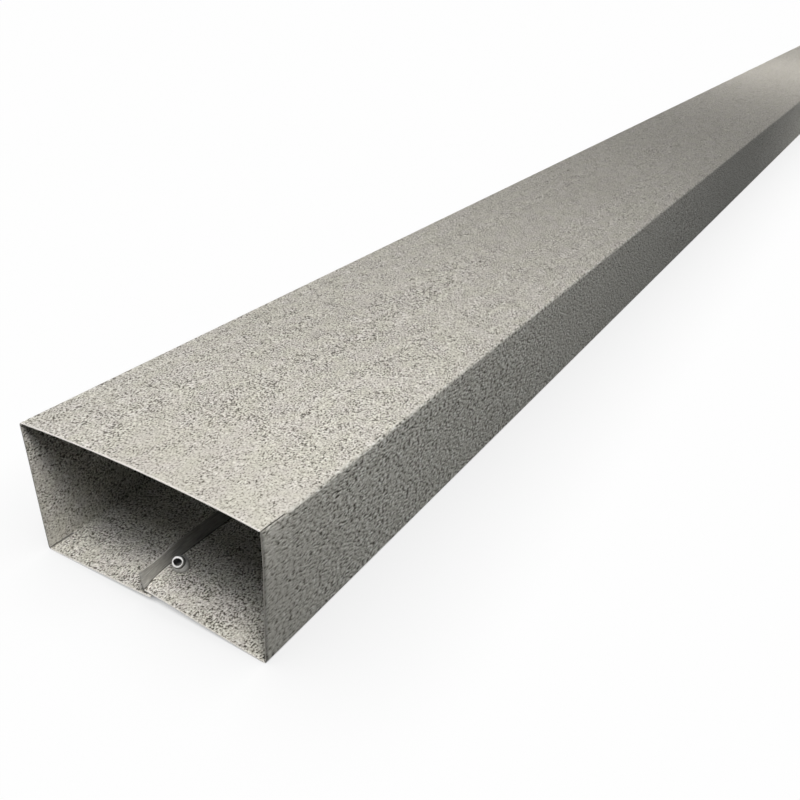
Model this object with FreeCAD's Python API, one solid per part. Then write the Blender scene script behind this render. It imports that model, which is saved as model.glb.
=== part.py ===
import FreeCAD
import Part
import math
import os

# Overall size of the pipe, lying on the side that carries its seam
PIPE_LENGTH = 1800.0
PIPE_WIDTH = 100.0
PIPE_HEIGHT = 50.0
TOP_CROWN = 2.0

# Sheet and its folds
SHEET = 0.5
INSIDE_BEND = 0.8

# Lap seam in the middle of the underside
SEAM_X = -3.4
SEAM_RISE = 2.6
LAP_WIDTH = 11.1
LAP_CLEARANCE = 0.1
UPSTAND_HEIGHT = 6.7
UPSTAND_INSIDE_BEND = 0.3

# Corner notch at each end of the lower lap
NOTCH_LENGTH = 4.5
NOTCH_FROM_UPSTAND = 5.3

# Slit along each corner fold at both ends, which lets an end be drawn in to enter the next pipe
SLIT_LENGTH = 10.5
SLIT_WIDTH = 0.4

# Blind rivets along the seam
RIVET_COUNT = 3
RIVET_FROM_END = 15.3
RIVET_FROM_UPSTAND = 4.7
RIVET_BODY_DIAMETER = 4.0
RIVET_HOLE_CLEARANCE = 0.1
RIVET_HEAD_DIAMETER = 8.0
RIVET_HEAD_HEIGHT = 1.0
RIVET_FOOT_DIAMETER = 5.2
RIVET_BULB_DIAMETER = 6.0
RIVET_BULB_SEAT = 2.3
RIVET_TAIL_REACH = 3.6
RIVET_TAIL_BORE = 2.6
RIVET_TAIL_LEAN = 48.0
RIVET_TAIL_TURN = 17.0
RIVET_RIM_CHAMFER = 0.25

# Sizes that follow from the ones above
half_width = PIPE_WIDTH / 2.0
half_length = PIPE_LENGTH / 2.0
outside_bend = INSIDE_BEND + SHEET
inner_rise = SEAM_RISE + SHEET + LAP_CLEARANCE
inner_top = inner_rise + SHEET
upstand_bend = UPSTAND_INSIDE_BEND + SHEET
upstand_face_x = SEAM_X + SHEET
lap_edge_x = SEAM_X + LAP_WIDTH
lap_crease_x = SEAM_X - outside_bend
inner_crease_x = lap_edge_x + outside_bend
rivet_x = upstand_face_x + RIVET_FROM_UPSTAND
rivet_spacing = (PIPE_LENGTH - 2.0 * RIVET_FROM_END) / (RIVET_COUNT - 1)

# The crown is one arc from fold to fold, its top TOP_CROWN above the height of the folds
fold_reach = half_width - outside_bend
crown_radius = outside_bend + (fold_reach ** 2 + TOP_CROWN ** 2) / (2.0 * TOP_CROWN)
crown_angle = math.degrees(math.asin(fold_reach / (crown_radius - outside_bend)))

# Points closer than this are one point
same_point = 1e-6


def in_section(x, z):
    return FreeCAD.Vector(x, 0.0, z)


def resting_slope(run, rise):
    # Slope in degrees of half an underside: its fold touches the floor, its crease stands at its rise
    reach = run - outside_bend
    climb = rise - outside_bend
    return math.degrees(math.atan2(climb, reach) + math.asin(outside_bend / math.hypot(reach, climb)))


left_slope = resting_slope(half_width + lap_crease_x, SEAM_RISE)
right_slope = resting_slope(half_width - inner_crease_x, inner_rise)


def bend(centre_x, centre_z, radius, first_angle, last_angle):
    # Start, middle and end of an arc in the section, from the angles of its outward normals
    angles = (first_angle, (first_angle + last_angle) / 2.0, last_angle)
    return [
        in_section(
            centre_x + radius * math.cos(math.radians(angle)),
            centre_z + radius * math.sin(math.radians(angle)),
        )
        for angle in angles
    ]


def corner_folds():
    # Centre of each corner fold and the angles of its first and last outward normals
    low_z = outside_bend
    high_z = PIPE_HEIGHT - outside_bend
    return {
        "lower_left": (-fold_reach, low_z, left_slope - 90.0, -180.0),
        "upper_left": (-fold_reach, high_z, 180.0, 90.0 + crown_angle),
        "upper_right": (fold_reach, high_z, 90.0 - crown_angle, 0.0),
        "lower_right": (fold_reach, low_z, 0.0, -90.0 - right_slope),
    }


def section_edges(depth):
    # The sheet's surface at one depth below its outer face, from the lower lap round to the upstand
    radius = outside_bend - depth
    lap_crease_shift = depth * math.tan(math.radians(left_slope) / 2.0)
    inner_crease_shift = depth * math.tan(math.radians(right_slope) / 2.0)
    crown_centre_z = PIPE_HEIGHT + TOP_CROWN - crown_radius
    folds = {
        name: bend(centre_x, centre_z, radius, first_angle, last_angle)
        for name, (centre_x, centre_z, first_angle, last_angle) in corner_folds().items()
    }

    stops = [
        [in_section(lap_edge_x, SEAM_RISE + depth)],
        [in_section(lap_crease_x - lap_crease_shift, SEAM_RISE + depth)],
        folds["lower_left"],
        folds["upper_left"],
        bend(0.0, crown_centre_z, crown_radius - depth, 90.0 + crown_angle, 90.0 - crown_angle),
        folds["upper_right"],
        folds["lower_right"],
        [in_section(inner_crease_x + inner_crease_shift, inner_rise + depth)],
        bend(SEAM_X + upstand_bend, inner_rise + upstand_bend, upstand_bend - depth, -90.0, -180.0),
        [in_section(SEAM_X + depth, inner_top + UPSTAND_HEIGHT)],
    ]
    edges = []
    for before, after in zip(stops, stops[1:]):
        if not before[-1].isEqual(after[0], same_point):
            edges.append(Part.makeLine(before[-1], after[0]))
        if len(after) > 1:
            edges.append(Part.Arc(*after).toShape())
    return edges, stops[0][0], stops[-1][0]


def rivet_places():
    return [RIVET_FROM_END - half_length + rivet_spacing * step for step in range(RIVET_COUNT)]


def notch_cutters():
    # Both end corners of the lower lap are cut away below the inner sheet
    notch_x = upstand_face_x + NOTCH_FROM_UPSTAND
    overrun = SHEET
    width = lap_edge_x - notch_x + overrun
    height = overrun + SHEET + LAP_CLEARANCE / 2.0
    corner_z = SEAM_RISE - overrun
    corners_y = (-half_length - overrun, half_length - NOTCH_LENGTH)
    return [
        Part.makeBox(width, NOTCH_LENGTH + overrun, height, FreeCAD.Vector(notch_x, corner_y, corner_z))
        for corner_y in corners_y
    ]


def slit_cutters():
    # A thin slot through the middle of each corner fold, from both ends
    overrun = SHEET
    start_radius = INSIDE_BEND - overrun
    size = (SHEET + 2.0 * overrun, SLIT_LENGTH + overrun, SLIT_WIDTH)
    cutters = []
    for centre_x, centre_z, first_angle, last_angle in corner_folds().values():
        for corner_y in (-half_length - overrun, half_length - SLIT_LENGTH):
            slot = Part.makeBox(*size, FreeCAD.Vector(start_radius, corner_y, -SLIT_WIDTH / 2.0))
            middle_angle = (first_angle + last_angle) / 2.0
            slot.rotate(FreeCAD.Vector(), FreeCAD.Vector(0.0, -1.0, 0.0), middle_angle)
            slot.translate(in_section(centre_x, centre_z))
            cutters.append(slot)
    return cutters


def rivet_hole_cutters():
    radius = (RIVET_BODY_DIAMETER + RIVET_HOLE_CLEARANCE) / 2.0
    start_z = SEAM_RISE - SHEET
    depth = inner_top + SHEET - start_z
    return [
        Part.makeCylinder(radius, depth, FreeCAD.Vector(rivet_x, place_y, start_z))
        for place_y in rivet_places()
    ]


def make_pipe_shell():
    outer_edges, outer_lap, outer_upstand = section_edges(0.0)
    inner_edges, inner_lap, inner_upstand = section_edges(SHEET)
    cut_edges = [Part.makeLine(outer_lap, inner_lap), Part.makeLine(outer_upstand, inner_upstand)]
    outline = Part.Wire(Part.__sortEdges__(outer_edges + inner_edges + cut_edges))
    section = Part.Face(outline)
    section.translate(FreeCAD.Vector(0.0, -half_length, 0.0))
    shell = section.extrude(FreeCAD.Vector(0.0, PIPE_LENGTH, 0.0))
    return shell.cut(notch_cutters() + slit_cutters() + rivet_hole_cutters())


def make_rivet_head_and_body(top_z):
    # Domed head under the lower lap and a body through both sheets, turned about the rivet's axis
    head_radius = RIVET_HEAD_DIAMETER / 2.0
    body_radius = RIVET_BODY_DIAMETER / 2.0
    dome_radius = (head_radius ** 2 + RIVET_HEAD_HEIGHT ** 2) / (2.0 * RIVET_HEAD_HEIGHT)
    dome_angle = math.degrees(math.asin(head_radius / dome_radius))
    dome_centre_z = SEAM_RISE - RIVET_HEAD_HEIGHT + dome_radius
    dome = bend(0.0, dome_centre_z, dome_radius, -90.0, dome_angle - 90.0)
    under_head = in_section(body_radius, SEAM_RISE)
    body_top = in_section(body_radius, top_z)
    axis_top = in_section(0.0, top_z)
    profile = Part.Wire([
        Part.Arc(*dome).toShape(),
        Part.makeLine(dome[-1], under_head),
        Part.makeLine(under_head, body_top),
        Part.makeLine(body_top, axis_top),
        Part.makeLine(axis_top, dome[0]),
    ])
    return Part.Face(profile).revolve(FreeCAD.Vector(), FreeCAD.Vector(0.0, 0.0, 1.0), 360.0)


def make_rivet_tail(bulb_centre, lean):
    # Open end of the body beyond the bulb, and its bore, leaning towards -Y and a little to the right
    turn = math.radians(RIVET_TAIL_TURN)
    sideways = math.sin(math.radians(lean))
    axis = FreeCAD.Vector(
        sideways * math.sin(turn), -sideways * math.cos(turn), math.cos(math.radians(lean))
    )
    tail = Part.makeCylinder(RIVET_BODY_DIAMETER / 2.0, RIVET_TAIL_REACH, bulb_centre, axis)
    rim_centre = bulb_centre + axis * RIVET_TAIL_REACH
    rim = [edge for edge in tail.Edges if edge.CenterOfMass.isEqual(rim_centre, same_point)]
    bore = Part.makeCylinder(RIVET_TAIL_BORE / 2.0, RIVET_TAIL_REACH, bulb_centre, axis)
    return tail.makeChamfer(RIVET_RIM_CHAMFER, rim), bore


def make_rivet(place_y, lean):
    bulb_centre = FreeCAD.Vector(0.0, 0.0, inner_top + RIVET_BULB_SEAT)
    head_and_body = make_rivet_head_and_body(bulb_centre.z)

    # Bulb pressed out on top of the inner sheet, on a narrower foot
    seat = FreeCAD.Vector(0.0, 0.0, inner_top)
    foot = Part.makeCylinder(RIVET_FOOT_DIAMETER / 2.0, RIVET_BULB_SEAT, seat)
    above_sheet = Part.makeCylinder(RIVET_BULB_DIAMETER, RIVET_BULB_DIAMETER, seat)
    bulb = Part.makeSphere(RIVET_BULB_DIAMETER / 2.0, bulb_centre).common(above_sheet)

    tail, bore = make_rivet_tail(bulb_centre, lean)
    rivet = head_and_body.fuse([foot, bulb, tail]).cut(bore)
    rivet.translate(FreeCAD.Vector(rivet_x, place_y, 0.0))
    return rivet.removeSplitter()


def write_piece(name, shape):
    if len(shape.Solids) != 1 or not shape.isValid():
        raise ValueError(name + " is not one sound solid")
    shape.Solids[0].exportStep("parts/" + name + ".step")


os.makedirs("parts", exist_ok=True)
write_piece("pipe_shell", make_pipe_shell())
for number, place in enumerate(rivet_places(), start=1):
    # Only the rivet at the first end has its tail pulled over
    tail_lean = RIVET_TAIL_LEAN if number == 1 else 0.0
    write_piece("rivet_%d" % number, make_rivet(place, tail_lean))
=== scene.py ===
import math

import bpy
import numpy as np
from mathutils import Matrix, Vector


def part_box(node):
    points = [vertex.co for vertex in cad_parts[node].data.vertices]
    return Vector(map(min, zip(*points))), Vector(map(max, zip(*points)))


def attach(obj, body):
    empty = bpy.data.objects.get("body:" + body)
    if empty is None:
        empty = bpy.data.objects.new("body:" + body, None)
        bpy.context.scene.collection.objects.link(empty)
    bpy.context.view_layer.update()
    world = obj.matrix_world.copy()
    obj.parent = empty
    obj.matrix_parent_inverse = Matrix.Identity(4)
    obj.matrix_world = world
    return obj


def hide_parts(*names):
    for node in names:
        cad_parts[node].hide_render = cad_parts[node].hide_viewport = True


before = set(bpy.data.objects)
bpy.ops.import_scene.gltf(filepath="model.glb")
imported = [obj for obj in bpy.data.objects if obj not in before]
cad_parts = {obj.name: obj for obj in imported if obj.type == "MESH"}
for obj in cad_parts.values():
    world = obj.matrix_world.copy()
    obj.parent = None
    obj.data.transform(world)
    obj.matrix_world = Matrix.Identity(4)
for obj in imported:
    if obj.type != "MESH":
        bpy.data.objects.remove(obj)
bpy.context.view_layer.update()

# Sizes are in millimetres, and meshes are made in metres
MM = 0.001

# The sheet, its folds and its lap seam
SHEET = 0.5
INSIDE_BEND = 0.8
TOP_CROWN = 2.0
SEAM_X = -3.4
SEAM_RISE = 2.6
LAP_WIDTH = 11.1
LAP_CLEARANCE = 0.1
UPSTAND_HEIGHT = 6.7
UPSTAND_INSIDE_BEND = 0.3
NOTCH_LENGTH = 4.5
NOTCH_FROM_UPSTAND = 5.3
SLIT_LENGTH = 10.5
SLIT_WIDTH = 0.4

# Blind rivets
RIVET_BODY_DIAMETER = 4.0
RIVET_HOLE_CLEARANCE = 0.1
RIVET_HEAD_DIAMETER = 8.0
RIVET_HEAD_HEIGHT = 1.0
RIVET_FOOT_DIAMETER = 5.2
RIVET_BULB_DIAMETER = 6.0
RIVET_BULB_SEAT = 2.3
RIVET_TAIL_REACH = 3.6
RIVET_TAIL_BORE = 2.6
RIVET_TAIL_LEAN = 48.0
RIVET_TAIL_TURN = 17.0

# How fine the meshes are
FOLD_STEPS = 8
HALF_FOLD_STEPS = 4
CROWN_STEPS = 20
FLAT_STEP = 5.0
LAP_STEP = 0.6
END_STEP = 0.45
STEP_GROWTH = 0.05
LONGEST_STEP = 12.0
HOLE_CELLS = 5
SHARP_ANGLE = 32.0

# How the first end is knocked out of true
WALL_RACK = 4.1
WALL_RACK_REACH = 250.0
CORNER_LEAN = 0.8
CORNER_LEAN_WIDTH = 12.0
CORNER_LEAN_HEIGHT = 14.0
CORNER_LEAN_REACH = 20.0
LAP_DROOP = 0.9
LAP_DROOP_AT_NOTCH = 0.5
SHEET_LIFT = 0.45
SHEET_LIFT_WIDTH = 24.0
SHEET_LIFT_REACH = 14.0
FOOT_SHIFT = 1.7
FOOT_REACH = 14.0
TOP_SHIFT = 1.6
TOP_REACH = 24.0
TIP_SHIFT = 0.2
TIP_SET_BACK = 0.8
TIP_DROP = 0.8
TIP_RISE = 0.4
TIP_REACH = 6.0
WRINKLE_DEPTH = 0.3
WRINKLE_WIDTH = 0.45
WRINKLES_FROM_END = (2.4, 4.6)
WRINKLE_X = 1.2
WRINKLE_LENGTH = 2.2

# Where light and shade are painted on the sheet, and where its grain is calm
# Painted glint on the inner lap beside the upstand's fold, about 9 mm from the first end
GLINT_FROM_END = 9.4
GLINT_LENGTH = 2.0
GLINT_FROM_UPSTAND = 0.9
GLINT_WIDTH = 0.6
GLINT_STRENGTH = 2.0
# Painted highlight on the cut edges of the faces that lie level, at both ends
RIM_HIGHLIGHT_WIDTH = 0.25
LEVEL_SINE = 0.8
# Painted light on the upstand: a slight highlight up to 15 mm from the first end, painted shade from 20 mm
# on
UPSTAND_SHADE_FROM_END = (15.0, 20.0)
UPSTAND_LIGHT_AND_SHADE = (0.1, -0.45)
UPSTAND_SMOOTH_TURN = 40.0
# Turn over which painted shade fills the upstand's fold
FOLD_SHADE_TURN = 20.0
# Painted shadow on the lower lap under the inner sheet's edge
LAP_SHADE_FROM_END = 1.3
LAP_SHADE_WIDTH = 0.5
# Painted shade along the left lower fold's slit, which is pressed shut at the first end
SLIT_SHADE = 2.0
SLIT_SHADE_TURN = 18.0
# A darker line on the right side's outer face along the first end's edge
SIDE_RIM_DARKENING = 0.6
SIDE_RIM_DARK_WIDTH = 0.9
# Calm grain near the first end, where the tone is also darkened as painted shade
CALM_REACH = 60.0
CALM_TOP_FROM_X = (-25.0, 0.0)
CALM_WALL = 0.8

# Slow waves in the flat sides, as height, length along the pipe and start
TOP_WAVES = ((0.10, 410.0, 0.4), (0.05, 173.0, 2.1))
SIDE_WAVES = ((0.12, 330.0, 1.3), (0.06, 141.0, 0.2))

# Turn of the outer face's normal on each flat part of the section, in degrees
LOWER_LAP_TURN = -90.0
LEFT_SIDE_TURN = -180.0
TOP_TURN = -270.0
RIGHT_SIDE_TURN = -360.0
INNER_LAP_TURN = -450.0
UPSTAND_TURN = -540.0

# Half the turn of a corner, and how close a flat lap keeps to its turn
HALF_CORNER = 45.0
FLAT_TURN = 1.0

pipe_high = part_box("pipe_shell")[1] / MM
half_width = pipe_high.x
half_length = pipe_high.y
pipe_height = pipe_high.z - TOP_CROWN
outside_bend = INSIDE_BEND + SHEET
fold_reach = half_width - outside_bend
inner_rise = SEAM_RISE + SHEET + LAP_CLEARANCE
inner_top = inner_rise + SHEET
upstand_bend = UPSTAND_INSIDE_BEND + SHEET
upstand_top = inner_top + UPSTAND_HEIGHT
upstand_face_x = SEAM_X + SHEET
lap_edge_x = SEAM_X + LAP_WIDTH
lap_crease_x = SEAM_X - outside_bend
inner_crease_x = lap_edge_x + outside_bend
notch_x = upstand_face_x + NOTCH_FROM_UPSTAND
hole_radius = (RIVET_BODY_DIAMETER + RIVET_HOLE_CLEARANCE) / 2.0
rivet_names = sorted(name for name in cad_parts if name.startswith("rivet"))


def rivet_place(name):
    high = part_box(name)[1] / MM
    return high.x - RIVET_HEAD_DIAMETER / 2.0, high.y - RIVET_HEAD_DIAMETER / 2.0


rivet_places = [rivet_place(name) for name in rivet_names]
rivet_x = rivet_places[0][0]
rivet_lines = rivet_x + LAP_STEP * np.arange(HOLE_CELLS, -HOLE_CELLS - 1, -1)


# Section of the pipe, as rows of x, z and the turn in degrees of the outer face's normal

def resting_slope(run, rise):
    reach = run - outside_bend
    climb = rise - outside_bend
    return math.degrees(math.atan2(climb, reach) + math.asin(outside_bend / math.hypot(reach, climb)))


def bend(centre_x, centre_z, radius, first_turn, last_turn, steps):
    turns = np.linspace(first_turn, last_turn, steps + 1)
    angles = np.radians(turns)
    return np.stack([centre_x + radius * np.cos(angles), centre_z + radius * np.sin(angles), turns], axis=1)


def level(lines, z, turn):
    return np.array([(x, z, turn) for x in lines])


def filled(rows, longest):
    dense = [rows[0]]
    for before, after in zip(rows, rows[1:]):
        steps = max(1, math.ceil(math.dist(before[:2], after[:2]) / longest))
        dense += [before + (after - before) * step / steps for step in range(1, steps + 1)]
    return np.array(dense)


left_slope = resting_slope(half_width + lap_crease_x, SEAM_RISE)
right_slope = resting_slope(half_width - inner_crease_x, inner_rise)
crown_radius = outside_bend + (fold_reach ** 2 + TOP_CROWN ** 2) / (2.0 * TOP_CROWN)
crown_turn = math.degrees(math.asin(fold_reach / (crown_radius - outside_bend)))


def corner_folds():
    # Centre of each corner fold and the turns at which it starts and ends
    low_z = outside_bend
    high_z = pipe_height - outside_bend
    return [
        (-fold_reach, low_z, LOWER_LAP_TURN + left_slope, LEFT_SIDE_TURN),
        (-fold_reach, high_z, LEFT_SIDE_TURN, TOP_TURN + crown_turn),
        (fold_reach, high_z, TOP_TURN - crown_turn, RIGHT_SIDE_TURN),
        (fold_reach, low_z, RIGHT_SIDE_TURN, INNER_LAP_TURN - right_slope),
    ]


def middle_turn(fold):
    return (fold[2] + fold[3]) / 2.0


def slit_fold(fold):
    # The two halves of a corner fold, on both sides of the strip that is slit open at the ends
    centre_x, centre_z, first_turn, last_turn = fold
    half_slit = math.degrees(SLIT_WIDTH / 2.0 / outside_bend)
    first_half = (first_turn, middle_turn(fold) + half_slit)
    last_half = (middle_turn(fold) - half_slit, last_turn)
    return np.concatenate([
        bend(centre_x, centre_z, outside_bend, *half, HALF_FOLD_STEPS) for half in (first_half, last_half)
    ])


def section_rows():
    # From the edge of the lower lap round the pipe to the top of the upstand, always turning one way
    crown_centre_z = pipe_height + TOP_CROWN - crown_radius
    lap_lines = {round(float(line), 4) for line in (lap_edge_x, notch_x, *rivet_lines)}
    crown_turns = (TOP_TURN + crown_turn, TOP_TURN - crown_turn)
    crown = bend(0.0, crown_centre_z, crown_radius, *crown_turns, CROWN_STEPS)
    upstand_fold = (SEAM_X + upstand_bend, inner_rise + upstand_bend, upstand_bend)
    lower_left, upper_left, upper_right, lower_right = (slit_fold(fold) for fold in corner_folds())
    parts = [
        level(sorted(lap_lines, reverse=True), SEAM_RISE, LOWER_LAP_TURN),
        level([lap_crease_x], SEAM_RISE, LOWER_LAP_TURN + left_slope / 2.0),
        lower_left,
        upper_left,
        crown[1:-1],
        upper_right,
        lower_right,
        level([inner_crease_x], inner_rise, INNER_LAP_TURN - right_slope / 2.0),
        level(rivet_lines, inner_rise, INNER_LAP_TURN),
        bend(*upstand_fold, INNER_LAP_TURN, UPSTAND_TURN, FOLD_STEPS),
        level([SEAM_X], upstand_top, UPSTAND_TURN),
    ]
    return filled(np.concatenate(parts), FLAT_STEP)


# Flat blank of the sheet, as lines across it and along it

def graded(first, last):
    # Places between two distances from an end, further apart the further they are from it
    places = [first]
    while places[-1] < last:
        places.append(places[-1] + min(END_STEP + STEP_GROWTH * places[-1], LONGEST_STEP))
    places = np.array(places)
    return first + (places - first) * (last - first) / (places[-1] - first)


def length_lines():
    hole_reach = HOLE_CELLS * LAP_STEP
    round_hole = LAP_STEP * np.arange(-HOLE_CELLS, HOLE_CELLS + 1)
    rivet_from_end = half_length + rivet_places[0][1]
    from_end = np.concatenate([
        graded(0.0, NOTCH_LENGTH),
        graded(NOTCH_LENGTH, SLIT_LENGTH),
        graded(SLIT_LENGTH, rivet_from_end - hole_reach),
        rivet_from_end + round_hole,
        graded(rivet_from_end + hole_reach, half_length - hole_reach),
    ])
    lines = np.concatenate([from_end - half_length, half_length - from_end, round_hole])
    return np.unique(np.round(lines, 4))


def nearest(lines, value):
    return int(np.argmin(np.abs(lines - value)))


def end_columns(lengths, reach):
    first = nearest(lengths, reach - half_length)
    last = nearest(lengths, half_length - reach)
    return [*range(first), *range(last, len(lengths) - 1)]


def cells_round(centre):
    return range(centre - HOLE_CELLS, centre + HOLE_CELLS)


def cells(rows, columns):
    return {(row, column) for row in rows for column in columns}


def blank_of_sheet(runs, lap_rows, slit_rows, lengths):
    # Points as run and place along the pipe, and four-sided faces, with notches, slits and rivet holes
    # cut out. The slits in the lower folds of the first end are pressed shut
    points = [(run, length) for run in runs for length in lengths]
    across = len(lengths)
    first_end = range(nearest(lengths, SLIT_LENGTH - half_length))
    pressed_shut = cells((slit_rows[0], slit_rows[-1]), first_end)
    cut = cells(slit_rows, end_columns(lengths, SLIT_LENGTH)) - pressed_shut
    cut |= cells(range(lap_rows["notch"]), end_columns(lengths, NOTCH_LENGTH))
    faces = []
    for centre_row in (lap_rows["lower_rivet"], lap_rows["inner_rivet"]):
        for place in rivet_places:
            centre_column = nearest(lengths, place[1])
            faces += hole_faces(points, runs, lengths, centre_row, centre_column)
            cut |= cells(cells_round(centre_row), cells_round(centre_column))
    for row in range(len(runs) - 1):
        for column in range(across - 1):
            if (row, column) not in cut:
                corner = row * across + column
                faces.append((corner, corner + across, corner + across + 1, corner + 1))
    return np.array(points), np.array(faces)


def hole_faces(points, runs, lengths, centre_row, centre_column):
    # A ring of faces from the square of cells round a rivet to its round hole
    side = range(-HOLE_CELLS, HOLE_CELLS)
    square = [(row, -HOLE_CELLS) for row in side]
    square += [(HOLE_CELLS, column) for column in side]
    square += [(-row, HOLE_CELLS) for row in side]
    square += [(-HOLE_CELLS, -column) for column in side]
    first = len(points)
    count = len(square)
    outer = []
    for row, column in square:
        outer.append((centre_row + row) * len(lengths) + centre_column + column)
        away = hole_radius / math.hypot(row, column)
        points.append((runs[centre_row] + row * away, lengths[centre_column] + column * away))
    return [
        (outer[step], outer[(step + 1) % count], first + (step + 1) % count, first + step)
        for step in range(count)
    ]


# Folding the blank and knocking it out of true

def clipped(share):
    return np.clip(share, 0.0, 1.0)


def fade(distance, reach):
    share = clipped(1.0 - distance / reach)
    return share * share * (3.0 - 2.0 * share)


def hump(distance, reach):
    return np.exp(-((distance / reach) ** 2))


def waves(kinds, along, across):
    total = 0.0
    for height, length, start in kinds:
        total = total + height * np.sin(2.0 * np.pi * along / length + start + across)
    return total


def facing(turn, direction):
    return np.abs(turn - direction) < HALF_CORNER


def leaning_walls(x, z, from_end):
    # Sideways shift: foot of the left wall pushed in over a long stretch, right corner leaning in
    up_share = clipped((z - outside_bend) / (pipe_height - 2.0 * outside_bend))
    left_share = clipped((lap_crease_x - x) / (lap_crease_x + fold_reach))
    pushed = WALL_RACK * (1.0 - up_share) * left_share * fade(from_end, WALL_RACK_REACH)
    high_share = clipped(1.0 + (z - pipe_height) / CORNER_LEAN_HEIGHT)
    right_share = clipped(1.0 + (x - half_width) / CORNER_LEAN_WIDTH)
    return pushed - CORNER_LEAN * high_share * right_share * fade(from_end, CORNER_LEAN_REACH)


def first_end_shifts(x, z, turn, from_end):
    # Shifts of the first end: walls leaning, lap gaping, upstand bent, inner sheet set back and wrinkled
    lower_lap = facing(turn, LOWER_LAP_TURN)
    inner_lap = turn < INNER_LAP_TURN + HALF_CORNER
    shift_x = leaning_walls(x, z, from_end)

    head_from_end = half_length + rivet_places[0][1] - RIVET_HEAD_DIAMETER / 2.0
    droop = np.interp(x, (-fold_reach, lap_crease_x, notch_x), (0.0, LAP_DROOP, LAP_DROOP_AT_NOTCH))
    shift_z = -droop * lower_lap * fade(from_end, head_from_end)

    lap_share = clipped((inner_crease_x - x) / (inner_crease_x - upstand_face_x)) * inner_lap
    height_share = clipped((z - inner_top) / UPSTAND_HEIGHT)
    foot_share = 1.0 - height_share
    foot = lap_share * foot_share
    top = lap_share * height_share
    tip = fade(from_end, TIP_REACH)
    shift_x += foot * (FOOT_SHIFT * fade(from_end, FOOT_REACH) + TIP_SHIFT * tip)
    shift_x += top * TOP_SHIFT * fade(from_end, TOP_REACH)
    lift = SHEET_LIFT * clipped(1.0 - x / SHEET_LIFT_WIDTH) * fade(from_end, SHEET_LIFT_REACH)
    for place in WRINKLES_FROM_END:
        lift -= WRINKLE_DEPTH * hump(from_end - place, WRINKLE_WIDTH) * hump(x - WRINKLE_X, WRINKLE_LENGTH)
    shift_z += lift * foot_share * inner_lap + tip * (top * TIP_RISE - foot * TIP_DROP)
    return shift_x, foot * tip * TIP_SET_BACK, shift_z


def section_at(rows, runs, blank):
    # The outer face's x, z and turn at each point of the blank
    return (np.interp(blank[:, 0], runs, rows[:, part]) for part in range(3))


def sheet_points(rows, runs, blank, depth):
    x, z, turn = section_at(rows, runs, blank)
    length = blank[:, 1]
    angle = np.radians(turn)
    middle_z = pipe_height / 2.0
    on_top = facing(turn, TOP_TURN)
    on_side = facing(turn, LEFT_SIDE_TURN) | facing(turn, RIGHT_SIDE_TURN)
    top_window = clipped(1.0 - (x / fold_reach) ** 2)
    side_window = clipped(1.0 - ((z - middle_z) / (middle_z - outside_bend)) ** 2)
    bulge = on_top * top_window * waves(TOP_WAVES, length, x / half_width)
    bulge += on_side * side_window * waves(SIDE_WAVES, length, x / half_width + z / middle_z)
    shift_x, shift_y, shift_z = first_end_shifts(x, z, turn, length + half_length)
    out = bulge - depth
    places = (x + shift_x + out * np.cos(angle), length + shift_y, z + shift_z + out * np.sin(angle))
    return np.stack(places, axis=1)


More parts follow.
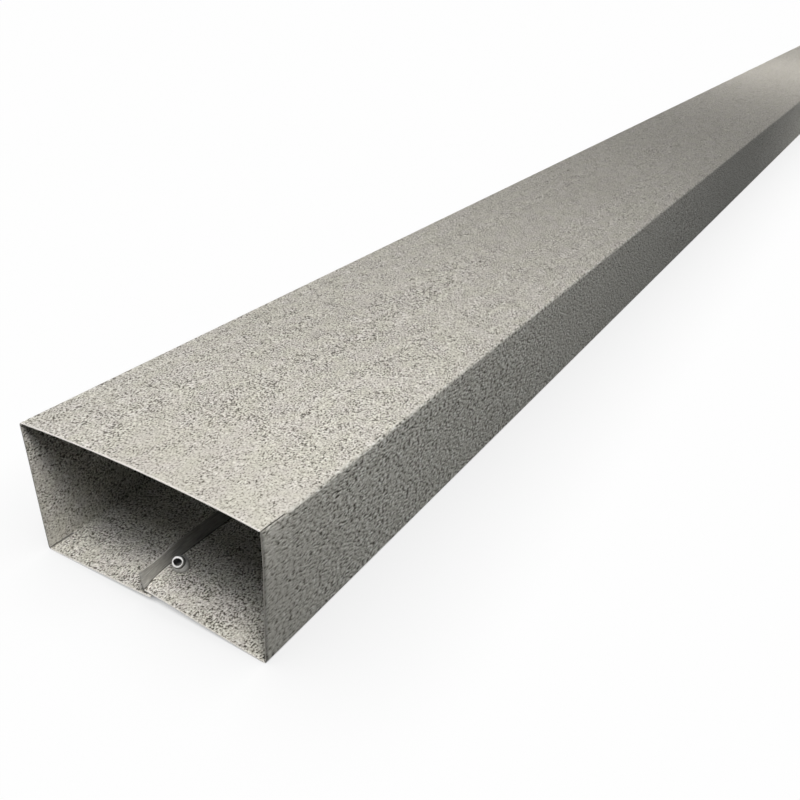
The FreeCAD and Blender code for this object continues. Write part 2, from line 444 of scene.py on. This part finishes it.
def sheet_marks(rows, runs, blank):
    # Marks of the outer face and of the inner face. Smooth is 1 on the upstand. Painted light goes from -1
    # for painted shade to 1 for a painted highlight. Calm is 1 where the grain is weakest, and paints shade
    # there.
    # Sideways is 1 on the outside of the sides
    x, z, turn = section_at(rows, runs, blank)
    angle = np.radians(turn)
    from_end = blank[:, 1] + half_length
    from_either_end = half_length - np.abs(blank[:, 1])
    smooth = np.interp(turn, (UPSTAND_TURN, UPSTAND_TURN + UPSTAND_SMOOTH_TURN), (1.0, 0.0))

    # Painted shade in the upstand's fold, along the whole pipe
    fold_turns = (
        UPSTAND_TURN,
        UPSTAND_TURN + FOLD_SHADE_TURN,
        INNER_LAP_TURN - FOLD_SHADE_TURN,
        INNER_LAP_TURN,
    )
    fold_shade = np.interp(turn, fold_turns, (0.0, 1.0, 1.0, 0.0))
    inner_lap = turn < INNER_LAP_TURN + HALF_CORNER
    # Painted glint on the inner lap beside the upstand's fold
    glint_beside_fold = inner_lap * hump(x - upstand_face_x - GLINT_FROM_UPSTAND, GLINT_WIDTH)
    painted_light = GLINT_STRENGTH * glint_beside_fold * hump(from_end - GLINT_FROM_END, GLINT_LENGTH) - fold_shade
    # Painted shade on the upstand from 20 mm behind the first end on, with a slight painted highlight
    # nearer the end
    painted_light += smooth * np.interp(from_end, UPSTAND_SHADE_FROM_END, UPSTAND_LIGHT_AND_SHADE)
    # Painted highlight on the cut edges of level faces at both ends, where they face the light from above
    painted_light += (np.abs(np.sin(angle)) > LEVEL_SINE) * hump(from_either_end, RIM_HIGHLIGHT_WIDTH)
    # Painted shadow on the lower lap under the inner sheet's edge
    on_lower_lap = facing(turn, LOWER_LAP_TURN) * (x > lap_crease_x)
    painted_light -= on_lower_lap * hump(from_end - LAP_SHADE_FROM_END, LAP_SHADE_WIDTH)
    # Painted shade along the left lower fold's slit at the first end
    left_slit_turn = middle_turn(corner_folds()[0])
    painted_light -= SLIT_SHADE * (from_end < SLIT_LENGTH) * hump(turn - left_slit_turn, SLIT_SHADE_TURN)
    # A darker line on the right side's outer face along the first end's edge
    right_rim = facing(turn, RIGHT_SIDE_TURN) * hump(from_end, SIDE_RIM_DARK_WIDTH)

    # Calm grain near the first end, on the outer faces towards the right and low on the inner left wall;
    # the same mark darkens the tone there as painted shade
    calm_end = fade(from_end, CALM_REACH)
    calm_top = calm_end * np.interp(x, CALM_TOP_FROM_X, (0.0, 1.0))
    calm_wall = calm_end * CALM_WALL * (x < -fold_reach) * (1.0 - z / pipe_height)
    return {
        "smooth": (smooth, smooth),
        "painted_light": (painted_light - SIDE_RIM_DARKENING * right_rim, painted_light),
        "calm_and_shade": (calm_top, calm_wall),
        "sideways": (np.abs(np.cos(angle)), np.zeros(len(x))),
    }


def rim_faces(faces, count):
    # Faces across the thickness of the sheet, along every edge that only one face of the blank has
    edges = np.concatenate([faces[:, [side, (side + 1) % 4]] for side in range(4)])
    keys = np.sort(edges, axis=1)
    _, first, uses = np.unique(keys, axis=0, return_index=True, return_counts=True)
    free = edges[first[uses == 1]]
    return np.stack([free[:, 1], free[:, 0], free[:, 0] + count, free[:, 1] + count], axis=1)


def row_on_lap(rows, lap_turn, x):
    on_lap = np.abs(rows[:, 2] - lap_turn) < FLAT_TURN
    return nearest(np.where(on_lap, rows[:, 0], np.inf), x)


def make_pipe_shell(zinc, cut_edge):
    rows = section_rows()
    runs = np.concatenate([[0.0], np.cumsum(np.hypot(*np.diff(rows[:, :2], axis=0).T))])
    lap_rows = {
        "notch": row_on_lap(rows, LOWER_LAP_TURN, notch_x),
        "lower_rivet": row_on_lap(rows, LOWER_LAP_TURN, rivet_x),
        "inner_rivet": row_on_lap(rows, INNER_LAP_TURN, rivet_x),
    }
    slit_rows = [int(np.sum(rows[:, 2] > middle_turn(fold))) - 1 for fold in corner_folds()]
    blank, faces = blank_of_sheet(runs, lap_rows, slit_rows, length_lines())
    used, faces = np.unique(faces, return_inverse=True)
    faces = faces.reshape(-1, 4)
    blank = blank[used]
    count = len(blank)
    rims = rim_faces(faces, count)
    points = np.concatenate([sheet_points(rows, runs, blank, depth) for depth in (0.0, SHEET)])
    all_faces = np.concatenate([faces, faces[:, ::-1] + count, rims])

    mesh = bpy.data.meshes.new("pipe_sheet")
    mesh.from_pydata((points * MM).tolist(), [], all_faces.tolist())
    mesh.materials.append(zinc)
    mesh.materials.append(cut_edge)
    rim_index = np.zeros(len(all_faces), dtype=np.int32)
    rim_index[-len(rims):] = 1
    mesh.polygons.foreach_set("material_index", rim_index)
    for name, faces_of_sheet in sheet_marks(rows, runs, blank).items():
        attribute = mesh.attributes.new(name, "FLOAT", "POINT")
        attribute.data.foreach_set("value", np.concatenate(faces_of_sheet).astype(np.float32))
    return smooth_object("pipe_sheet", mesh)


def smooth_object(name, mesh):
    mesh.validate()
    mesh.polygons.foreach_set("use_smooth", np.ones(len(mesh.polygons), dtype=bool))
    mesh.set_sharp_from_angle(angle=math.radians(SHARP_ANGLE))
    piece = bpy.data.objects.new(name, mesh)
    bpy.context.scene.collection.objects.link(piece)
    return piece


# Rivets, turned about an axis that may lean over above the bulb

RIVET_SIDES = 48
BULB_STEPS = 14
ROUND_STEPS = 6
LIP_STEPS = 3
MANDREL_RADIUS = 1.0
MANDREL_TIP_RADIUS = 0.8
MANDREL_DEPTH = 0.45
MANDREL_ROUND = 0.09
HEAD_RIM_RADIUS = 1.15
HEAD_DOME_HEIGHT = 0.75
HEAD_DOME_POWER = 2.2
HEAD_EDGE_ROUND = 0.08
NECK_RADIUS = 2.24
GROOVE_RADIUS = 2.04
GROOVE_HEIGHT = 0.35
RIM_ROUND = 0.2
LIP_ROUND = 0.08
BORE_OFFSET = (0.09, -0.07)
BORE_SQUEEZE = (1.2, 0.95)
BORE_DEPTH = 3.2

# Rows of the bore below its lip, as shares of its radius and depth
BORE_ROWS = ((1.0, 0.6), (0.96, 1.0), (0.55, 0.94), (0.15, 0.90))


def rounded(centre_radius, centre_z, size, first_angle, last_angle, steps):
    # Rows of radius and height along an arc
    angles = np.linspace(first_angle, last_angle, steps + 1)
    return [(centre_radius + size * math.cos(angle), centre_z + size * math.sin(angle)) for angle in angles]


def rivet_profile():
    # Rows of radius and height along the axis, from the sunk mandrel end in the head to the floor of the
    # bore, the row at which each material starts, and the row at which the bore's lip starts
    head_radius = RIVET_HEAD_DIAMETER / 2.0
    body_radius = RIVET_BODY_DIAMETER / 2.0
    bore_radius = RIVET_TAIL_BORE / 2.0
    bulb_z = inner_top + RIVET_BULB_SEAT
    tail_z = bulb_z + RIVET_TAIL_REACH
    low_z = SEAM_RISE - RIVET_HEAD_HEIGHT
    rows = [(MANDREL_TIP_RADIUS, low_z + MANDREL_DEPTH)]
    rows.append((MANDREL_RADIUS, low_z + MANDREL_DEPTH - MANDREL_ROUND))
    rows.append((MANDREL_RADIUS, low_z + MANDREL_ROUND))
    for share in np.linspace(0.0, 1.0, ROUND_STEPS + 1):
        radius = HEAD_RIM_RADIUS + (head_radius - HEAD_RIM_RADIUS) * share
        rows.append((radius, low_z + HEAD_DOME_HEIGHT * share ** HEAD_DOME_POWER))
    rows.append((head_radius, SEAM_RISE - HEAD_EDGE_ROUND))
    rows.append((head_radius - HEAD_EDGE_ROUND, SEAM_RISE))
    rows.append((body_radius, SEAM_RISE))
    rows.append((body_radius, inner_top))
    # The bulb takes a darker copy of the aluminium, as painted shade
    kinds = [(0, "bright"), (len(rows), "half_shaded")]
    rows.append((RIVET_FOOT_DIAMETER / 2.0, inner_top))
    bulb_radius = RIVET_BULB_DIAMETER / 2.0
    foot_angle = -math.acos(RIVET_FOOT_DIAMETER / RIVET_BULB_DIAMETER)
    neck_angle = math.acos(NECK_RADIUS / bulb_radius)
    rows += rounded(0.0, bulb_z, bulb_radius, foot_angle, neck_angle, BULB_STEPS)
    neck_z = rows[-1][1]
    # Painted shade on the neck between bulb and tail
    kinds.append((len(rows) - 1, "deep_shaded"))
    rows.append((GROOVE_RADIUS, neck_z + GROOVE_HEIGHT))
    kinds.append((len(rows), "bright"))
    rows.append((body_radius, neck_z + 2.0 * GROOVE_HEIGHT))
    quarter_turn = math.pi / 2.0
    rim = (body_radius - RIM_ROUND, tail_z - RIM_ROUND, RIM_ROUND)
    rows += rounded(*rim, 0.0, quarter_turn, ROUND_STEPS)
    lip_start = len(rows)
    lip = (bore_radius + LIP_ROUND, tail_z - LIP_ROUND, LIP_ROUND)
    rows += rounded(*lip, quarter_turn, math.pi, LIP_STEPS)
    # Painted shade in the bore
    kinds.append((len(rows) - 1, "deep_shaded"))
    rows += [(bore_radius * radius, tail_z - BORE_DEPTH * depth) for radius, depth in BORE_ROWS]
    return [(float(radius), float(height)) for radius, height in rows], kinds, lip_start


def axis_point(height, lean, sideways):
    # Point of the axis at a height, and the direction of the axis there, bent about the bulb's centre
    angle = math.radians(lean)
    upright = Vector((0.0, 0.0, 1.0))
    start = inner_top * upright
    middle = (inner_top + RIVET_BULB_SEAT) * upright
    end = middle + RIVET_TAIL_REACH * (math.sin(angle) * sideways + math.cos(angle) * upright)
    share = (height - inner_top) / (RIVET_BULB_SEAT + RIVET_TAIL_REACH)
    if share <= 0.0:
        return height * upright, upright
    place = start * (1.0 - share) ** 2 + middle * 2.0 * share * (1.0 - share) + end * share ** 2
    along = (middle - start) * (1.0 - share) + (end - middle) * share
    return place, along.normalized()


def ring_faces(rings):
    # Faces between the rings of a turned piece, then one over its first ring and one over its last
    faces = []
    for ring in range(rings - 1):
        corner = ring * RIVET_SIDES
        upper = corner + RIVET_SIDES
        for step in range(RIVET_SIDES):
            following = (step + 1) % RIVET_SIDES
            faces.append((corner + step, corner + following, upper + following, upper + step))
    last = (rings - 1) * RIVET_SIDES
    faces.append(tuple(reversed(range(RIVET_SIDES))))
    faces.append(tuple(range(last, last + RIVET_SIDES)))
    return faces


def make_rivet(name, metals):
    place_x, place_y = rivet_place(name)
    lean = RIVET_TAIL_LEAN if place_y < rivet_places[1][1] else 0.0
    turn = math.radians(RIVET_TAIL_TURN)
    side = Vector((math.cos(turn), math.sin(turn), 0.0))
    sideways = Vector((math.sin(turn), -math.cos(turn), 0.0))
    profile, kinds, lip_start = rivet_profile()
    points = []
    for row, (radius, height) in enumerate(profile):
        centre, along = axis_point(height, lean, sideways)
        ahead = along.cross(side)
        squeeze = (1.0, 1.0)
        if row >= lip_start:
            centre = centre + BORE_OFFSET[0] * side + BORE_OFFSET[1] * ahead
            squeeze = BORE_SQUEEZE
        for step in range(RIVET_SIDES):
            angle = 2.0 * math.pi * step / RIVET_SIDES
            across = math.cos(angle) * squeeze[0] * side + math.sin(angle) * squeeze[1] * ahead
            spot = centre + radius * across
            points.append(((spot.x + place_x) * MM, (spot.y + place_y) * MM, spot.z * MM))
    faces = ring_faces(len(profile))
    mesh = bpy.data.meshes.new(name + "_turned")
    mesh.from_pydata(points, [], faces)
    for metal in metals.values():
        mesh.materials.append(metal)
    numbers = np.zeros(len(faces), dtype=np.int32)
    for start, kind in kinds:
        numbers[start * RIVET_SIDES:] = list(metals).index(kind)
    first_ring_cap = -2
    numbers[first_ring_cap] = list(metals).index("bright")
    mesh.polygons.foreach_set("material_index", numbers)
    return smooth_object(name + "_turned", mesh)


# Materials

def new_material(name):
    material = bpy.data.materials.new(name)
    material.use_nodes = True
    tree = material.node_tree
    tree.nodes.clear()
    output = tree.nodes.new("ShaderNodeOutputMaterial")
    shader = tree.nodes.new("ShaderNodeBsdfPrincipled")
    tree.links.new(shader.outputs["BSDF"], output.inputs["Surface"])
    return material, tree, shader


def add_node(tree, kind, inputs, **settings):
    # A node with its settings, whose inputs are plain values or sockets of other nodes
    made = tree.nodes.new(kind)
    for setting, value in settings.items():
        setattr(made, setting, value)
    for socket, value in inputs.items():
        if isinstance(value, bpy.types.NodeSocket):
            tree.links.new(value, made.inputs[socket])
        else:
            made.inputs[socket].default_value = value
    return made


def arithmetic(tree, operation, first, second):
    return add_node(tree, "ShaderNodeMath", {0: first, 1: second}, operation=operation).outputs[0]


def rescaled(tree, value, from_low, from_high, to_low, to_high):
    ranges = {
        "Value": value,
        "From Min": from_low,
        "From Max": from_high,
        "To Min": to_low,
        "To Max": to_high,
    }
    return add_node(tree, "ShaderNodeMapRange", ranges).outputs["Result"]


def between(tree, share, low, high):
    # From low to high as the share goes from 0 to 1
    return rescaled(tree, share, 0.0, 1.0, low, high)


def product(tree, first, second):
    multiply = add_node(tree, "ShaderNodeVectorMath", {0: first, 1: second}, operation="MULTIPLY")
    return multiply.outputs[0]


def colour_ramp(tree, value, stops):
    ramp = add_node(tree, "ShaderNodeValToRGB", {"Fac": value})
    elements = ramp.color_ramp.elements
    while len(elements) < len(stops):
        elements.new(1.0)
    for element, (position, colour) in zip(elements, stops):
        element.position = position
        element.color = (*colour, 1.0)
    return ramp.outputs["Color"]


def millimetre_place(tree, stretch=1.0):
    # Place on the piece in millimetres, drawn out along the pipe
    coordinates = add_node(tree, "ShaderNodeTexCoord", {}).outputs["Object"]
    return product(tree, coordinates, (1.0 / MM, 1.0 / MM / stretch, 1.0 / MM))


def noise(tree, place, size, detail=2.0):
    inputs = {"Vector": place, "Scale": 1.0 / size, "Detail": detail}
    return add_node(tree, "ShaderNodeTexNoise", inputs).outputs["Fac"]


def weighted(tree, parts):
    # Sum of each value, less its own middle, times its weight
    total = 0.0
    for value, middle, weight in parts:
        part = arithmetic(tree, "MULTIPLY", arithmetic(tree, "SUBTRACT", value, middle), weight)
        total = arithmetic(tree, "ADD", part, total)
    return total


def attribute_value(tree, name):
    return add_node(tree, "ShaderNodeAttribute", {}, attribute_name=name).outputs["Fac"]


# Places of the two colours and of their mix among the sockets of a mix node
FIRST_COLOUR = 6
SECOND_COLOUR = 7
MIXED_COLOUR = 2


def mixed(tree, share, first, second):
    mix = add_node(tree, "ShaderNodeMix", {"Factor": share}, data_type="RGBA")
    for socket, colour in ((FIRST_COLOUR, first), (SECOND_COLOUR, second)):
        if isinstance(colour, bpy.types.NodeSocket):
            tree.links.new(colour, mix.inputs[socket])
        else:
            mix.inputs[socket].default_value = (*colour, 1.0)
    return mix.outputs[MIXED_COLOUR]


def add_relief(tree, shader, height, strength, distance):
    inputs = {"Height": height, "Strength": strength, "Distance": distance}
    relief = add_node(tree, "ShaderNodeBump", inputs)
    tree.links.new(relief.outputs["Normal"], shader.inputs["Normal"])


# Painted shade and painted highlights, and how far each covers the colour below
PAINTED_SHADE = (0.03, 0.028, 0.025)
PAINTED_SHADE_SHARE = 0.8
PAINTED_HIGHLIGHT = (0.95, 0.93, 0.89)
PAINTED_HIGHLIGHT_SHARE = 0.9


def with_painted_light(tree, colour):
    # Colour with painted shade where the painted light is below 0, and a painted highlight where it is
    # above
    painted_light = attribute_value(tree, "painted_light")
    dirty = mixed(tree, rescaled(tree, painted_light, 0.0, -1.0, 0.0, PAINTED_SHADE_SHARE), colour, PAINTED_SHADE)
    return mixed(tree, between(tree, painted_light, 0.0, PAINTED_HIGHLIGHT_SHARE), dirty, PAINTED_HIGHLIGHT)


# Zinc coating: sizes of its grain in millimetres, how strongly each part shows, and its colours
GRAIN_STRETCH = 1.5
PEEL_SIZE = 0.54
PEEL_WEIGHT = 3.4
PEEL_DEPTH = 0.8
SIDE_STRETCH = 2.2
SIDE_PEEL_SIZE = 0.78
SPANGLE_SIZE = 0.9
SPANGLE_WEIGHT = 0.2
SPANGLE_METALLIC = 0.05
SPANGLE_ROUGHNESS = (0.5, 0.7)
MOTTLE_SIZE = 5.0
MOTTLE_WEIGHT = 0.05
CLOUD_SIZE = 60.0
CLOUD_WEIGHT = 0.08
# Painted shade where the grain is calm, near the first end
CALM_SHADE_WEIGHT = -0.08
NOISE_MIDDLE = 0.5
NOISE_SPAN = (0.35, 0.65)
PATCH_GRAIN = (1.25, 0.75)
SMOOTH_GRAIN = 0.3
SMOOTH_METALLIC = 0.5
CALM_GRAIN = 0.5
ZINC_SPECULAR = 0.05
BRUSH_SIZE = 0.5
BRUSH_DETAIL = 3.0
BRUSH_STRETCH = 9.0
BRUSH_SHARE = 0.8
BRUSH_GREY = (0.53, 0.53, 0.515)
BRUSH_STOPS = ((0.3, 0.6), (0.7, 1.4))
TINT_SIZE = 6.0
TINT_DETAIL = 1.0
PINK_TINT = (1.006, 0.994, 1.015)
OLIVE_TINT = (0.998, 1.001, 0.98)
# A cooler tint on the outer sides, as painted shade
SIDE_SHADE_TINT = (0.98, 1.002, 1.02)
ZINC_TONES = (
    (0.0, (0.073, 0.067, 0.057)),
    (0.25, (0.350, 0.340, 0.303)),
    (0.36, (0.510, 0.500, 0.459)),
    (0.5, (0.580, 0.570, 0.527)),
    (0.68, (0.644, 0.635, 0.590)),
    (1.0, (0.874, 0.870, 0.831)),
)


def tinted(tree, place):
    # Slight tints: pink and olive in patches, and a cooler painted shade tint on the outer sides
    tint_patches = rescaled(tree, noise(tree, place, TINT_SIZE, TINT_DETAIL), *NOISE_SPAN, 0.0, 1.0)
    patched = mixed(tree, tint_patches, PINK_TINT, OLIVE_TINT)
    return mixed(tree, attribute_value(tree, "sideways"), patched, SIDE_SHADE_TINT)


def brushed_grey(tree):
    # Grey with fine streaks along the pipe
    streaks = noise(tree, millimetre_place(tree, BRUSH_STRETCH), BRUSH_SIZE, BRUSH_DETAIL)
    stops = [(position, [part * share for part in BRUSH_GREY]) for position, share in BRUSH_STOPS]
    return colour_ramp(tree, streaks, stops)


def spangled_zinc():
    material, tree, shader = new_material("spangled_zinc")
    place = millimetre_place(tree, GRAIN_STRETCH)
    spangle = add_node(tree, "ShaderNodeTexVoronoi", {"Vector": place, "Scale": 1.0 / SPANGLE_SIZE})
    kinds = add_node(tree, "ShaderNodeSeparateColor", {"Color": spangle.outputs["Color"]})
    peel = add_node(tree, "ShaderNodeMix", {
        "Factor": attribute_value(tree, "sideways"),
        "A": noise(tree, place, PEEL_SIZE),
        "B": noise(tree, millimetre_place(tree, SIDE_STRETCH), SIDE_PEEL_SIZE),
    }).outputs["Result"]
    mottle = noise(tree, place, MOTTLE_SIZE)
    cloud = noise(tree, place, CLOUD_SIZE)
    smooth = attribute_value(tree, "smooth")
    calm_and_shade = attribute_value(tree, "calm_and_shade")
    patches = rescaled(tree, mottle, *NOISE_SPAN, *PATCH_GRAIN)
    patches = arithmetic(tree, "MULTIPLY", patches, between(tree, smooth, 1.0, SMOOTH_GRAIN))
    patches = arithmetic(tree, "MULTIPLY", patches, between(tree, calm_and_shade, 1.0, CALM_GRAIN))

    # Tone from the dark pits of the peel to the bright spangles, in stronger and weaker patches
    fine_parts = [(peel, NOISE_MIDDLE, PEEL_WEIGHT), (kinds.outputs["Red"], NOISE_MIDDLE, SPANGLE_WEIGHT)]
    # The calm mark's weight below 0 paints shade where the grain is calm
    slow_parts = [
        (mottle, NOISE_MIDDLE, MOTTLE_WEIGHT),
        (cloud, NOISE_MIDDLE, CLOUD_WEIGHT),
        (calm_and_shade, 0.0, CALM_SHADE_WEIGHT),
    ]
    tone = arithmetic(tree, "MULTIPLY", weighted(tree, fine_parts), patches)
    tone = arithmetic(tree, "ADD", tone, weighted(tree, slow_parts))
    tone = arithmetic(tree, "ADD", tone, NOISE_MIDDLE)
    colour = product(tree, colour_ramp(tree, tone, ZINC_TONES), tinted(tree, place))
    colour = mixed(tree, between(tree, smooth, 0.0, BRUSH_SHARE), colour, brushed_grey(tree))
    tree.links.new(with_painted_light(tree, colour), shader.inputs["Base Color"])
    spangle_shine = between(tree, kinds.outputs["Green"], 0.0, SPANGLE_METALLIC)
    shine = arithmetic(tree, "ADD", between(tree, smooth, 0.0, SMOOTH_METALLIC), spangle_shine)
    tree.links.new(shine, shader.inputs["Metallic"])
    tree.links.new(between(tree, kinds.outputs["Blue"], *SPANGLE_ROUGHNESS), shader.inputs["Roughness"])
    shader.inputs["Specular IOR Level"].default_value = ZINC_SPECULAR
    add_relief(tree, shader, arithmetic(tree, "MULTIPLY", peel, PEEL_DEPTH), patches, MM)
    return material


# Cut edges of the sheet
EDGE_STREAK_SIZE = 0.35
EDGE_TONES = ((0.3, (0.36, 0.35, 0.32)), (0.7, (0.56, 0.545, 0.51)))
EDGE_METALLIC = 0.6
EDGE_NOISE_SPAN = (0.3, 0.7)
EDGE_ROUGHNESS = (0.4, 0.6)
EDGE_SPECULAR = 0.1
EDGE_RELIEF = 0.3
FINE_RELIEF_DEPTH = 0.05


def sheared_edge():
    material, tree, shader = new_material("sheared_edge")
    place = millimetre_place(tree)
    streaks = noise(tree, place, EDGE_STREAK_SIZE)
    colour = colour_ramp(tree, streaks, EDGE_TONES)
    tree.links.new(with_painted_light(tree, colour), shader.inputs["Base Color"])
    # The painted highlights on the cut edges are also made metallic
    tree.links.new(between(tree, attribute_value(tree, "painted_light"), 0.0, EDGE_METALLIC), shader.inputs["Metallic"])
    roughness = rescaled(tree, streaks, *EDGE_NOISE_SPAN, *EDGE_ROUGHNESS)
    tree.links.new(roughness, shader.inputs["Roughness"])
    shader.inputs["Specular IOR Level"].default_value = EDGE_SPECULAR
    add_relief(tree, shader, streaks, EDGE_RELIEF, FINE_RELIEF_DEPTH * MM)
    return material


# Rivet metals, each as its darkest grey, its brightest grey and how metallic it is
# The half-shaded metal on the bulb and the deep-shaded one on the neck and in the bore are painted shade on
# the same aluminium
RIVET_METALS = {"bright": (0.62, 0.84, 0.6), "half_shaded": (0.42, 0.68, 0.4), "deep_shaded": (0.04, 0.2, 0.5)}
RIVET_BLUE = 0.98
HANDLING_SIZE = 1.6
HANDLING_DETAIL = 4.0
HANDLING_STOPS = (0.3, 0.65)
HANDLING_SPAN = (0.3, 0.7)
HANDLING_ROUGHNESS = (0.25, 0.5)
RIVET_PIT_SIZE = 0.3
RIVET_RELIEF = 0.25


def rivet_metal(name, low, high, metallic):
    # Aluminium between two greys, marked by handling
    material, tree, shader = new_material(name)
    place = millimetre_place(tree)
    handling = noise(tree, place, HANDLING_SIZE, HANDLING_DETAIL)
    greys = [(grey, grey, grey * RIVET_BLUE) for grey in (low, high)]
    colour = colour_ramp(tree, handling, list(zip(HANDLING_STOPS, greys)))
    tree.links.new(colour, shader.inputs["Base Color"])
    roughness = rescaled(tree, handling, *HANDLING_SPAN, *HANDLING_ROUGHNESS)
    tree.links.new(roughness, shader.inputs["Roughness"])
    shader.inputs["Metallic"].default_value = metallic
    add_relief(tree, shader, noise(tree, place, RIVET_PIT_SIZE), RIVET_RELIEF, FINE_RELIEF_DEPTH * MM)
    return material


# Floor, surroundings, light and camera, in metres, watts and degrees

FLOOR_REACH = 40.0
FLOOR_GREY = (0.08, 0.08, 0.08)
FLOOR_GLOW = 0.99
SHADOW_REACH = 0.06
SHADOW_TONES = ((0.0, 0.03), (0.4, 0.85), (1.0, 1.0))
AMBIENT = 0.025
LAMP_SIZE = 0.20
WARM_WHITE = (1.0, 0.96, 0.91)
PLAIN_WHITE = (1.0, 1.0, 1.0)
LAMP_AIM = (0.0, -0.78, 0.03)
KEY_PLACE = (0.22, -1.025, 0.62)
KEY_POWER = 3.55
BACK_POWER = 2.7
FRONT_PLACE = (0.20, -1.17, 0.62)
FRONT_POWER = 1.35
FILL_PLACE = (0.0, -1.9, 0.42)
FILL_POWER = 0.75
MIDDLE_PLACE = (0.0, 0.30, 0.70)
MIDDLE_AIM = (0.0, 0.30, 0.05)
MIDDLE_POWER = 0.5
MIDDLE_SPREAD = 84.0
SIDE_PLACE = (-0.90, -0.45, 0.14)
SIDE_AIM = (-0.05, -0.45, 0.03)
SIDE_POWER = 0.6
SIDE_SPREAD = 78.0
FULL_SPREAD = 180.0
CAMERA_LENS = 38.754
CAMERA_NEAR = 0.01
CAMERA_PLACE = (0.1712, -1.0475, 0.1982)
CAMERA_TURN = (60.97, -3.40, 30.79)


def seen_directly(tree):
    # 1 for rays from the camera, mirror-like rays and rays through glass, which all see white surroundings
    path = add_node(tree, "ShaderNodeLightPath", {})
    seen = arithmetic(tree, "ADD", path.outputs["Is Camera Ray"], path.outputs["Is Glossy Ray"])
    seen = arithmetic(tree, "ADD", seen, path.outputs["Is Transmission Ray"])
    return arithmetic(tree, "MINIMUM", seen, 1.0)


def make_floor():
    signs = ((-1.0, -1.0), (1.0, -1.0), (1.0, 1.0), (-1.0, 1.0))
    corners = [(x * FLOOR_REACH, y * FLOOR_REACH, 0.0) for x, y in signs]
    mesh = bpy.data.meshes.new("floor")
    mesh.from_pydata(corners, [], [(0, 1, 2, 3)])
    floor = bpy.data.objects.new("floor", mesh)
    bpy.context.scene.collection.objects.link(floor)
    material = bpy.data.materials.new("white_floor")
    material.use_nodes = True
    tree = material.node_tree
    tree.nodes.clear()
    diffuse = add_node(tree, "ShaderNodeBsdfDiffuse", {"Color": (*FLOOR_GREY, 1.0)})
    nearness = add_node(tree, "ShaderNodeAmbientOcclusion", {"Distance": SHADOW_REACH}).outputs["AO"]
    stops = [(position, (grey, grey, grey)) for position, grey in SHADOW_TONES]
    shadow = colour_ramp(tree, nearness, stops)
    glow = add_node(tree, "ShaderNodeEmission", {"Strength": shadow})
    share = arithmetic(tree, "MULTIPLY", seen_directly(tree), FLOOR_GLOW)
    mix = add_node(tree, "ShaderNodeMixShader", {0: share, 1: diffuse.outputs[0], 2: glow.outputs[0]})
    add_node(tree, "ShaderNodeOutputMaterial", {"Surface": mix.outputs[0]})
    mesh.materials.append(material)


def make_world():
    world = bpy.data.worlds.new("white_surroundings")
    world.use_nodes = True
    bpy.context.scene.world = world
    tree = world.node_tree
    tree.nodes.clear()
    strength = between(tree, seen_directly(tree), AMBIENT, 1.0)
    inputs = {"Color": (*PLAIN_WHITE, 1.0), "Strength": strength}
    background = add_node(tree, "ShaderNodeBackground", inputs)
    add_node(tree, "ShaderNodeOutputWorld", {"Surface": background.outputs[0]})


def make_lamp(name, power, place, aim=LAMP_AIM, colour=WARM_WHITE, spread=FULL_SPREAD, half_turn=False):
    # A soft lamp, which shines on the pipe's first end unless it is aimed elsewhere or turned half round
    light = bpy.data.lights.new(name, "AREA")
    light.shape = "DISK"
    light.size = LAMP_SIZE
    light.energy = power
    light.color = colour
    light.spread = math.radians(spread)
    lamp = bpy.data.objects.new(name, light)
    place = Vector(place)
    aim = Vector(aim)
    if half_turn:
        place.xy = -place.xy
        aim.xy = -aim.xy
    lamp.location = place
    lamp.rotation_euler = (aim - place).to_track_quat("-Z", "Y").to_euler()
    bpy.context.scene.collection.objects.link(lamp)


def make_camera():
    camera = bpy.data.objects.new("camera", bpy.data.cameras.new("camera"))
    camera.data.lens = CAMERA_LENS
    camera.data.clip_start = CAMERA_NEAR
    camera.location = CAMERA_PLACE
    camera.rotation_euler = [math.radians(angle) for angle in CAMERA_TURN]
    bpy.context.scene.collection.objects.link(camera)
    bpy.context.scene.camera = camera


pipe = make_pipe_shell(spangled_zinc(), sheared_edge())
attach(pipe, "root")
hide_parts("pipe_shell")

rivet_metals = {kind: rivet_metal("rivet_" + kind, *look) for kind, look in RIVET_METALS.items()}
for name in rivet_names:
    rivet = make_rivet(name, rivet_metals)
    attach(rivet, "root")
    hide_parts(name)

make_floor()
make_world()
make_lamp("key", KEY_POWER, KEY_PLACE)
make_lamp("back", BACK_POWER, KEY_PLACE, half_turn=True)
make_lamp("front", FRONT_POWER, FRONT_PLACE, colour=PLAIN_WHITE)
make_lamp("fill", FILL_POWER, FILL_PLACE, colour=PLAIN_WHITE)
make_lamp("middle", MIDDLE_POWER, MIDDLE_PLACE, MIDDLE_AIM, spread=MIDDLE_SPREAD)
make_lamp("left_side", SIDE_POWER, SIDE_PLACE, SIDE_AIM, spread=SIDE_SPREAD)
make_lamp("right_side", SIDE_POWER, SIDE_PLACE, SIDE_AIM, spread=SIDE_SPREAD, half_turn=True)
make_camera()
bpy.context.scene.view_settings.view_transform = "Standard"
